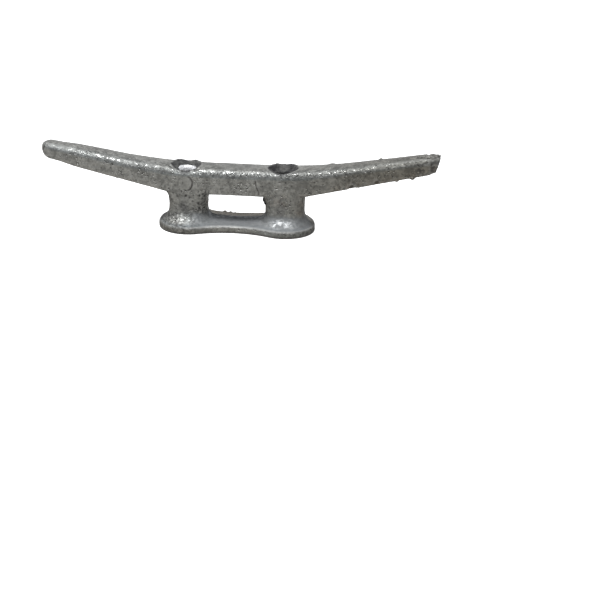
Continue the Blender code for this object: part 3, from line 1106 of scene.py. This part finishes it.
class Graph:
    """Adds nodes to a shader tree, so that a finish reads as a list of steps."""

    def __init__(self, tree: bpy.types.NodeTree) -> None:
        """Keep the tree that nodes are added to."""
        self.tree = tree

    def set(self, socket: Socket, value: Value | Colour) -> None:
        """Link the socket to another one, or give it a fixed value.

        Args:
            socket: The input to set.
            value: A socket to link it to, a number or a colour.
        """
        if isinstance(value, bpy.types.NodeSocket):
            self.tree.links.new(value, socket)
        elif isinstance(value, tuple) and len(value) == 3 and socket.type == "RGBA":
            socket.default_value = (*value, 1.0)
        else:
            socket.default_value = value

    def node(self, kind: str, **inputs: Value | Colour) -> bpy.types.Node:
        """Add a node and set its inputs by name, with _ for a space.

        Args:
            kind: The node's type, without "ShaderNode".
            inputs: Values or sockets for its inputs.

        Returns:
            The node.
        """
        made = self.tree.nodes.new(f"ShaderNode{kind}")
        for name, value in inputs.items():
            self.set(made.inputs[name.replace("_", " ")], value)
        return made

    def own(self) -> Socket:
        """The piece's own coordinates, in metres."""
        return self.node("TexCoord").outputs["Object"]

    def attribute(self, name: str) -> Socket:
        """A mask that the mesh carries.

        Args:
            name: The mask's name.

        Returns:
            The mask.
        """
        made = self.node("Attribute")
        made.attribute_name = name
        return made.outputs["Fac"]

    def group(self, tree: bpy.types.NodeTree, **inputs: Value) -> bpy.types.Node:
        """Add a node group and set its inputs by name.

        Args:
            tree: The group's own tree.
            inputs: Values or sockets for its inputs.

        Returns:
            The node.
        """
        made = self.node("Group")
        made.node_tree = tree
        for name, value in inputs.items():
            self.set(made.inputs[name], value)
        return made

    def noise(
        self, place: Socket, size: float, detail: float = 2.0, rough: float = 0.5, lean: float = 0.0
    ) -> Socket:
        """Random waves of a size in metres, from 0 to 1.

        Args:
            place: Coordinates.
            size: Length of the waves.
            detail: How many finer layers.
            rough: How strong the finer layers are.
            lean: How much the waves are bent.

        Returns:
            The waves.
        """
        made = self.node("TexNoise", Vector=place, Scale=1.0 / size, Detail=detail, Roughness=rough)
        self.set(made.inputs["Distortion"], lean)
        return made.outputs["Fac"]

    def cells(self, place: Socket, size: float) -> Socket:
        """Distance to the nearest of the random points that lie about a size apart."""
        return self.node("TexVoronoi", Vector=place, Scale=1.0 / size).outputs["Distance"]

    def maths(self, operation: str, first: Value, second: Value = 0.0, clamp: bool = False) -> Socket:
        """One step of arithmetic.

        Args:
            operation: The node's name for the step.
            first: First number.
            second: Second number.
            clamp: Whether the answer is kept from 0 to 1.

        Returns:
            The answer.
        """
        made = self.node("Math")
        made.operation, made.use_clamp = operation, clamp
        self.set(made.inputs[0], first)
        self.set(made.inputs[1], second)
        return made.outputs[0]

    def times(self, first: Value, second: Value, clamp: bool = False) -> Socket:
        """Multiply two numbers."""
        return self.maths("MULTIPLY", first, second, clamp)

    def most(self, first: Value, *others: Value) -> Socket:
        """Largest of several numbers.

        Args:
            first: First number.
            others: The rest of them.

        Returns:
            The largest.
        """
        for other in others:
            first = self.maths("MAXIMUM", first, other)
        return first

    def spread(self, value: Value, low: float, high: float, start: float = 0.0, end: float = 1.0) -> Socket:
        """Stretch the range low to high onto start to end, level beyond it.

        Args:
            value: The number to stretch.
            low: Where the range begins. It may be the larger one.
            high: Where the range ends.
            start: What low becomes.
            end: What high becomes.

        Returns:
            The stretched number.
        """
        made = self.node("MapRange")
        for socket, number in zip(made.inputs[:5], (value, low, high, start, end)):
            self.set(socket, number)
        return made.outputs[0]

    def mix(self, share: Value, first: Value, second: Value) -> Socket:
        """Mix two numbers.

        Args:
            share: Share of the second one.
            first: Number where the share is 0.
            second: Number where the share is 1.

        Returns:
            The mixed number.
        """
        made = self.node("Mix")
        for index, number in ((0, share), (2, first), (3, second)):
            self.set(made.inputs[index], number)
        return made.outputs[0]

    def blend(
        self, share: Value, first: Value | Colour, second: Value | Colour, how: str = "MIX"
    ) -> Socket:
        """Mix two colours.

        Args:
            share: Share of the second one.
            first: Colour where the share is 0.
            second: Colour that is laid over it.
            how: The node's name for the way of mixing.

        Returns:
            The mixed colour.
        """
        made = self.node("Mix")
        made.data_type, made.blend_type, made.clamp_factor = "RGBA", how, True
        for index, value in ((0, share), (6, first), (7, second)):
            self.set(made.inputs[index], value)
        return made.outputs[2]

    def bump(self, height: Socket, distance: float, strength: float) -> Socket:
        """Turn a height from 0 to 1 into a normal."""
        return self.node("Bump", Height=height, Distance=distance, Strength=strength).outputs["Normal"]


def effect_group(
    name: str, inputs: dict[str, str], outputs: dict[str, str]
) -> tuple[bpy.types.NodeTree, Graph, bpy.types.Node, bpy.types.Node]:
    """Start a shader node group.

    Args:
        name: The group's name.
        inputs: Socket types by input name.
        outputs: Socket types by output name.

    Returns:
        The tree, a graph on it, and its input and output nodes.
    """
    tree = bpy.data.node_groups.new(name, "ShaderNodeTree")
    for direction, sockets in (("INPUT", inputs), ("OUTPUT", outputs)):
        for socket, kind in sockets.items():
            tree.interface.new_socket(socket, in_out=direction, socket_type=f"NodeSocket{kind}")
    return tree, Graph(tree), tree.nodes.new("NodeGroupInput"), tree.nodes.new("NodeGroupOutput")


def clouds_group() -> bpy.types.NodeTree:
    """Drifts and flecks of zinc: broad clouds, small blotches and fine flecks, each from 0 to 1.

    Returns:
        The group's tree.
    """
    outputs = {"Clouds": "Float", "Blotches": "Float", "Flecks": "Float"}
    tree, graph, start, end = effect_group("zinc_clouds", {"Place": "Vector"}, outputs)
    place = start.outputs["Place"]
    clouds = graph.noise(place, 9 * MM, 3.0, 0.55, 0.4)
    blotches = graph.noise(place, 2.6 * MM, 2.0, 0.6, 0.3)
    flecks = graph.noise(place, 1.0 * MM, 2.0, 0.6)
    graph.set(end.inputs["Clouds"], graph.spread(clouds, 0.3, 0.7))
    graph.set(end.inputs["Blotches"], graph.spread(blotches, 0.32, 0.68))
    graph.set(end.inputs["Flecks"], graph.spread(flecks, 0.3, 0.7))
    return tree


def pores_group() -> bpy.types.NodeTree:
    """Fine pores: small dark dots, more in some places than in others, from 0 to 1.

    Returns:
        The group's tree.
    """
    inputs = {"Place": "Vector", "Amount": "Float"}
    tree, graph, start, end = effect_group("iron_pores", inputs, {"Pores": "Float"})
    place = start.outputs["Place"]
    small = graph.spread(graph.cells(place, 1.5 * MM), 0.30, 0.14)
    tiny = graph.spread(graph.cells(place, 0.85 * MM), 0.32, 0.14)
    often = graph.spread(graph.noise(place, 3.6 * MM, 2.0), 0.36, 0.60)
    dots = graph.times(graph.most(small, graph.times(tiny, 0.7)), often)
    graph.set(end.inputs["Pores"], graph.times(dots, start.outputs["Amount"], clamp=True))
    return tree


@dataclass(frozen=True)
class GalvanisedFinish:
    """Hot-dip zinc over cast iron: dull grey clouds, dark pores, brighter thick zinc and a little rust, with
    painted shade and painted highlights laid over it.
    """

    name: str = "galvanised_skin"
    pale: Colour = (0.47, 0.47, 0.445)
    grey: Colour = (0.25, 0.25, 0.237)
    # Painted shade, laid over the right part of the cleat and the base's rim.
    shade: Colour = (0.67, 0.64, 0.585)
    # Painted shade, multiplied over the strip under the edge's highlight, the shoulder and the right rim.
    painted_shade_band: Colour = (0.70, 0.745, 0.79)
    # Blue tint on the metal under the edge's highlight, which colours the highlight: painted highlight
    # colour.
    painted_highlight_tint: Colour = (0.90, 0.95, 1.0)
    blue: Colour = (0.295, 0.31, 0.325)
    # Painted light for the base's crest, which lies in the bar's shadow.
    painted_light_colour: Colour = (0.365, 0.38, 0.395)
    dark: Colour = (0.075, 0.072, 0.068)
    worn: Colour = (0.62, 0.62, 0.60)
    brown: Colour = (0.20, 0.13, 0.085)
    rust: Colour = (0.46, 0.22, 0.09)
    # Near-black painted shade for the insides of the screw holes.
    scale: Colour = (0.042, 0.042, 0.045)
    # Painted highlight for the left hole.
    painted_highlight_white: Colour = (0.97, 0.98, 1.0)
    # Near-black painted shade for the flash lump in the opening's corner.
    painted_lump_shade: Colour = (0.012, 0.012, 0.012)
    # White rust, pale enough to also serve as painted light on the shaded rear of the base.
    chalk_and_painted_light: Colour = (0.82, 0.76, 0.66)

    def material(self) -> bpy.types.Material:
        """Build the material.

        Returns:
            A material that reads the masks of the cast skin.
        """
        made = bpy.data.materials.new(self.name)
        made.use_nodes = True
        graph = Graph(made.node_tree)
        shader = made.node_tree.nodes["Principled BSDF"]
        place, mask = graph.own(), graph.attribute
        clouds = graph.group(clouds_group(), Place=place)
        cloud, blotch, fleck = (clouds.outputs[name] for name in ("Clouds", "Blotches", "Flecks"))
        smooth, top, edge, hollow = (mask(name) for name in ("smooth", "top", "edge", "hollow"))
        plain = graph.maths("SUBTRACT", 1.0, smooth, clamp=True)
        amount = graph.times(plain, graph.spread(top, 0.0, 1.0, 1.0, 0.3))
        pores = graph.group(pores_group(), Place=place, Amount=amount).outputs["Pores"]

        # Painted shade on the right part and the rim, lighter on top faces.
        shaded = graph.times(mask("painted_side_and_rim_shade"), graph.spread(top, 0.0, 1.0, 1.0, 0.6))
        # Pits and the cold shut's dark crack, with painted shade in the disc's groove, heavier on its right.
        pits = graph.maths("ADD", mask("pits"), mask("lines"))
        grime = graph.maths("ADD", pits, mask("grime"), clamp=True)
        grime = graph.most(grime, graph.times(mask("rough_end"), 0.7))
        stain = graph.times(mask("stain"), graph.spread(blotch, 0.2, 0.9), clamp=True)
        rusty = graph.times(mask("rust"), graph.spread(fleck, 0.3, 0.7, 0.4, 1.0), clamp=True)
        # Painted highlight: a ragged near-white, mostly non-metallic patch in the left hole.
        ragged = graph.maths("ADD", mask("painted_hole_highlight"), graph.times(fleck, 0.5))
        painted_hole_highlight = graph.times(graph.spread(ragged, 0.6, 0.8), graph.spread(mask("painted_hole_highlight"), 0.0, 0.2))
        shaded_bore = graph.maths("SUBTRACT", mask("bore"), graph.times(painted_hole_highlight, 1.6), clamp=True)
        # White rust on the rear of the base, partly painted light.
        white_rust_and_light = graph.times(mask("chalk_and_painted_light"), graph.spread(fleck, 0.1, 0.7, 0.55, 1.0))
        # Dark flecks of dirt, with painted shade on the left stem and in the opening's corner.
        soil_and_shade = graph.times(mask("soil_and_shade"), graph.spread(fleck, 0.6, 0.25), clamp=True)
        painted_lump_shade = mask("painted_lump_shade")

        tone = graph.maths("ADD", graph.times(cloud, 0.30), graph.times(blotch, 0.36))
        tone = graph.maths("ADD", tone, graph.times(fleck, 0.34))
        colour = graph.blend(graph.spread(tone, 0.31, 0.69), self.grey, self.pale)
        coats = (
            # painted shade on the right part and the rim
            (shaded, self.shade, "MULTIPLY"),
            (graph.times(mask("disc"), 0.45), self.pale, "MIX"),
            # painted highlight colour: the metal under the edge's highlight is tinted blue
            (graph.times(edge, 0.7), self.painted_highlight_tint, "MULTIPLY"),
            # painted shade under the edge's highlight, on the shoulder and the right rim
            (mask("painted_shade_band"), self.painted_shade_band, "MULTIPLY"),
            (graph.times(smooth, 0.75), self.blue, "MIX"),
            # painted light on the base's crest, in the bar's shadow
            (mask("painted_light_crest"), self.painted_light_colour, "MIX"),
            (graph.times(pores, 0.75), self.dark, "MIX"),
            (graph.spread(hollow, 0.12, 0.9, 0.0, 0.6), self.dark, "MIX"),
            (graph.spread(hollow, -0.15, -0.8, 0.0, 0.35), self.worn, "MIX"),
            (graph.times(grime, 0.75), self.dark, "MIX"),
            (graph.times(stain, 0.8), self.brown, "MIX"),
            (rusty, self.rust, "MIX"),
            # painted shade inside the screw holes
            (graph.times(shaded_bore, graph.spread(blotch, 0.1, 0.8, 1.0, 0.72)), self.scale, "MIX"),
            # painted highlight in the left hole
            (painted_hole_highlight, self.painted_highlight_white, "MIX"),
            # white rust, partly painted light
            (white_rust_and_light, self.chalk_and_painted_light, "MIX"),
            # dark flecks of dirt and painted shade
            (soil_and_shade, self.dark, "MIX"),
            # painted shadow along the bottom edge
            (graph.times(mask("painted_foot_shadow"), 0.8), self.dark, "MIX"),
            # painted shade along the step at the base's crest
            (graph.times(mask("crest"), 0.75), self.dark, "MIX"),
            # near-black painted shade on the flash lump
            (graph.times(painted_lump_shade, 2.5, clamp=True), self.painted_lump_shade, "MIX"),
        )
        for share, coat, how in coats:
            colour = graph.blend(share, colour, coat, how)
        graph.set(shader.inputs["Base Color"], colour)

        dull = graph.most(grime, stain, rusty, painted_lump_shade, shaded_bore, white_rust_and_light)
        metal = graph.spread(graph.most(dull, painted_hole_highlight), 0.0, 1.0, 0.78, 0.15)
        graph.set(shader.inputs["Metallic"], metal)
        rough = graph.spread(graph.maths("ADD", blotch, fleck), 0.4, 1.6, 0.40, 0.56)
        rough = graph.maths("SUBTRACT", rough, graph.times(mask("thick_zinc"), 0.07), clamp=True)
        rough = graph.maths("ADD", rough, graph.times(dull, 0.25), clamp=True)
        faint = graph.times(mask("faint"), 0.12)
        sparkle = graph.maths("SUBTRACT", graph.noise(place, 0.85 * MM, 2.0, 0.6), faint)
        rough = graph.mix(edge, rough, graph.spread(sparkle, 0.48, 0.60, 0.74, 0.2))
        broken = graph.spread(graph.noise(place, 1.5 * MM, 2.0, 0.65, 0.4), 0.42, 0.60, 0.80, 0.46)
        rough = graph.mix(smooth, rough, broken)
        rough = graph.mix(mask("shoulder"), rough, 0.78)
        graph.set(shader.inputs["Roughness"], rough)

        fine = graph.noise(place, 0.5 * MM, 1.0, 0.6)
        coarse = graph.noise(place, 1.25 * MM, 1.0, 0.55)
        height = graph.maths("ADD", graph.times(coarse, 0.75), graph.times(fine, 0.25))
        height = graph.maths("SUBTRACT", height, graph.times(pores, 0.5))
        height = graph.times(height, graph.spread(smooth, 0.0, 1.0, 1.0, 0.3))
        graph.set(shader.inputs["Normal"], graph.bump(height, 0.5 * MM, 1.0))
        return made


# Stage


@dataclass(frozen=True)
class Lamp:
    """A soft rectangular light that faces the cleat."""

    name: str
    place: tuple[float, float, float]
    size: tuple[float, float]
    power: float
    aim: tuple[float, float, float] = (0.0, 0.0, 0.01)

    def build(self) -> None:
        """Make the light."""
        data = bpy.data.lights.new(self.name, "AREA")
        data.shape, data.size, data.size_y = "RECTANGLE", *self.size
        data.energy = self.power
        obj = bpy.data.objects.new(self.name, data)
        obj.location = self.place
        obj.rotation_mode = "QUATERNION"
        obj.rotation_quaternion = (Vector(self.aim) - Vector(self.place)).to_track_quat("-Z", "Y")
        bpy.context.scene.collection.objects.link(obj)


@dataclass(frozen=True)
class Studio:
    """Pale floor, soft overhead light and the camera."""

    azimuth: float = math.radians(8.5)
    elevation: float = math.radians(18.5)
    distance: float = 0.76
    lens: float = 120.57
    shift: tuple[float, float] = (0.1052, -0.1203)
    floor_size: float = 6.0
    floor_drop: float = 0.05 * MM
    floor_seen: Colour = (0.93, 0.93, 0.93)
    floor_reflected: Colour = (0.50, 0.488, 0.467)
    sky_reflected: Colour = (0.15, 0.155, 0.165)
    white: Colour = (1.0, 1.0, 1.0)
    lamps: tuple[Lamp, ...] = (
        Lamp("overhead", (-0.12, -0.21, 0.72), (0.36, 0.18), 5.8),
        Lamp("rear_fill", (0.15, 1.5, 0.5), (2.4, 1.0), 3.9),
    )

    def direction(self) -> Vector:
        """From the origin towards the camera.

        Returns:
            A vector of length 1.
        """
        level = math.cos(self.elevation)
        across, back = math.sin(self.azimuth) * level, -math.cos(self.azimuth) * level
        return Vector((across, back, math.sin(self.elevation)))

    def camera(self) -> None:
        """Make the camera, looking at the origin, with the cleat in the upper left of the picture."""
        data = bpy.data.cameras.new("camera")
        data.lens, data.sensor_width = self.lens, 36.0
        data.shift_x, data.shift_y = self.shift
        data.clip_start, data.clip_end = 0.01, 50.0
        obj = bpy.data.objects.new("camera", data)
        obj.location = self.direction() * self.distance
        obj.rotation_mode = "QUATERNION"
        obj.rotation_quaternion = (-self.direction()).to_track_quat("-Z", "Y")
        bpy.context.scene.collection.objects.link(obj)
        bpy.context.scene.camera = obj

    def floor(self) -> None:
        """Make the floor: pale to look at, and no brighter than a mid grey in the metal's reflections."""
        size, height = self.floor_size, -self.floor_drop
        mesh = bpy.data.meshes.new("floor")
        corners = [(x * size, y * size, height) for x, y in ((-1, -1), (1, -1), (1, 1), (-1, 1))]
        mesh.from_pydata(corners, [], [(0, 1, 2, 3)])
        material = bpy.data.materials.new("floor")
        material.use_nodes = True
        graph = Graph(material.node_tree)
        shader = material.node_tree.nodes["Principled BSDF"]
        shader.inputs["Roughness"].default_value = 1.0
        shader.inputs["Specular IOR Level"].default_value = 0.0
        seen = graph.node("LightPath").outputs["Is Camera Ray"]
        graph.set(shader.inputs["Base Color"], graph.blend(seen, self.floor_reflected, self.floor_seen))
        graph.set(shader.inputs["Emission Color"], self.white)
        graph.set(shader.inputs["Emission Strength"], seen)
        mesh.materials.append(material)
        obj = bpy.data.objects.new("floor", mesh)
        bpy.context.scene.collection.objects.link(obj)

    def world(self) -> None:
        """Give the surroundings an even pale light."""
        world = bpy.data.worlds.new("surroundings")
        world.use_nodes = True
        graph = Graph(world.node_tree)
        background = world.node_tree.nodes["Background"]
        seen = graph.node("LightPath").outputs["Is Camera Ray"]
        graph.set(background.inputs["Color"], graph.blend(seen, self.sky_reflected, self.white))
        background.inputs["Strength"].default_value = 1.0
        bpy.context.scene.world = world

    def build(self) -> None:
        """Set the whole stage."""
        self.camera()
        self.floor()
        self.world()
        for lamp in self.lamps:
            lamp.build()
        scene = bpy.context.scene
        scene.view_settings.view_transform = "Standard"
        scene.view_settings.look = "None"


def hole_places(record: dict) -> np.ndarray:
    """Middles (x, y) of the left and the right fastening hole that the record states."""
    boxes = {opening["name"]: np.array(opening["box_m"]) for opening in record["physics"]["openings"]}
    return np.array([boxes[f"{side}_fastening_hole"].mean(0)[:2] for side in ("left", "right")])


STAIN_SEED = 77


def weathering_and_shade(points: np.ndarray) -> dict[str, np.ndarray]:
    """Where use and weather have left their marks, and where light and shade are painted: brown stain,
    painted shade on the right and on the rim, dirt mixed with painted shade, white rust pale enough to act as
    painted light, painted light on the base's crest, and a painted shadow along the foot.

    Args:
        points: Points of the skin, in metres.

    Returns:
        Masks from 0 to 1, by name.
    """
    x, y, z = points.T / MM
    stem_edge = 27.0
    horn_foot = (Bar.horn_underside + Bar.underside_slope * (np.abs(x) - stem_edge) * MM) / MM
    waves = RandomField(STAIN_SEED).layers(points, 3.2 * MM, 3)

    outer = window(x, 21.5, 25.0, stem_edge, 30.0) * window(z, 6.0, 9.0, 14.0, 17.5)
    lower = 0.5 * smooth_step(x, 28.0, 44.0) * smooth_step(z - horn_foot, 4.0, 0.5)
    head = 0.5 * bell(x - 15.5, 8.0) * window(z, 9.5, 12.5, 15.0, 17.5)
    under = smooth_step(z - horn_foot, 1.6, 0.2) * smooth_step(np.abs(x), stem_edge, 29.0)
    stain = np.clip((outer + lower + head) * (0.65 + 0.6 * waves), 0.0, 1.0)
    stain = np.maximum(stain, 0.4 * under * (0.8 + 0.6 * waves))

    # Painted shade: darker towards the right end, where less light falls, and low on the base's front rim.
    ends = np.maximum(smooth_step(x, 12.0, 20.0), 0.8 * smooth_step(x, -14.0, -20.0))
    rim = smooth_step(z, 3.1, 2.4) * smooth_step(-y, 0.0, 2.0)
    dull = np.maximum(smooth_step(x + 6.0 * waves, 8.0, 62.0), rim * (0.3 + 0.3 * ends))

    # Dirt and painted shade: dark flecks on the left stem's inner side and foot, where shade falls, a painted
    # shade spot in the opening's upper left corner, and dark flecks low on the rim, on the left lobe, on the
    # right horn's front and on the stub.
    side = window(x, -15.5, -12.4, -10.0, -9.0) * window(z, 5.5, 8.0, 15.0, 18.0)
    patch = bell(np.hypot(x + 12.8, (z - 8.6) * 1.2), 3.6)
    blotchy = smooth_step(waves, 0.0, 0.4) * smooth_step(x, 22.0, 36.0) * smooth_step(-y, 3.0, 4.5)
    soil_and_shade = [
        np.clip((0.7 * side + 0.6 * patch) * (0.9 + 0.8 * waves), 0.0, 1.0),
        bell(np.hypot(x + 11.3, z - 14.0), 2.4) * (y < 0.0),
        0.5 * smooth_step(z, 3.0, 2.3) * ends,
        0.5 * smooth_step(x, -11.0, -20.0) * smooth_step(z, 9.0, 6.0),
        0.45 * blotchy + 0.35 * smooth_step(x, 62.0, 70.0),
    ]
    # White rust on the base's rear strip, made pale enough to stand in as painted light where the bar shades
    # it.
    chalk_and_painted_light = smooth_step(y, 1.2, 2.4) * window(z, 2.4, 3.2, 5.5, 7.0) * smooth_step(np.abs(x), 13.0, 9.0)
    # Painted light: the base's crest, shaded by the bar above, is given a lighter zinc colour.
    painted_light_crest = window(y, -5.5, -2.5, 0.4, 1.4) * smooth_step(np.abs(x), 12.0, 8.0) * smooth_step(z, 7.5, 5.5)
    return {
        "stain": stain,
        "painted_light_crest": painted_light_crest,
        "painted_side_and_rim_shade": dull,
        "soil_and_shade": np.maximum.reduce(soil_and_shade),
        "chalk_and_painted_light": chalk_and_painted_light,
        # painted shadow along the bottom edge, where the cleat meets the floor
        "painted_foot_shadow": smooth_step(z, 1.4, 0.4),
    }


def add_stains_and_shade(skin: bpy.types.Object) -> None:
    """Write the masks of wear, stains, and painted light and shade on the skin.

    Args:
        skin: The cast skin.
    """
    points = np.zeros(len(skin.data.vertices) * 3)
    skin.data.vertices.foreach_get("co", points)
    write_masks(skin.data, weathering_and_shade(points.reshape(-1, 3)))


def main() -> None:
    """Build the cleat's skin and the stage."""
    logging.basicConfig(level=logging.INFO, format="%(name)s: %(message)s")
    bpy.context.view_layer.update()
    low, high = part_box(CAD_NODE)
    casting = Casting(low, high, hole_places(frame["record"]))
    skin = casting.build()
    add_stains_and_shade(skin)
    skin.data.materials.append(GalvanisedFinish().material())
    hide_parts(CAD_NODE)
    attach(skin, "root")
    LOG.info("piece %s: %d faces", skin.name, len(skin.data.polygons))
    Studio().build()
    bpy.context.view_layer.update()


if __name__ == "__main__":
    main()
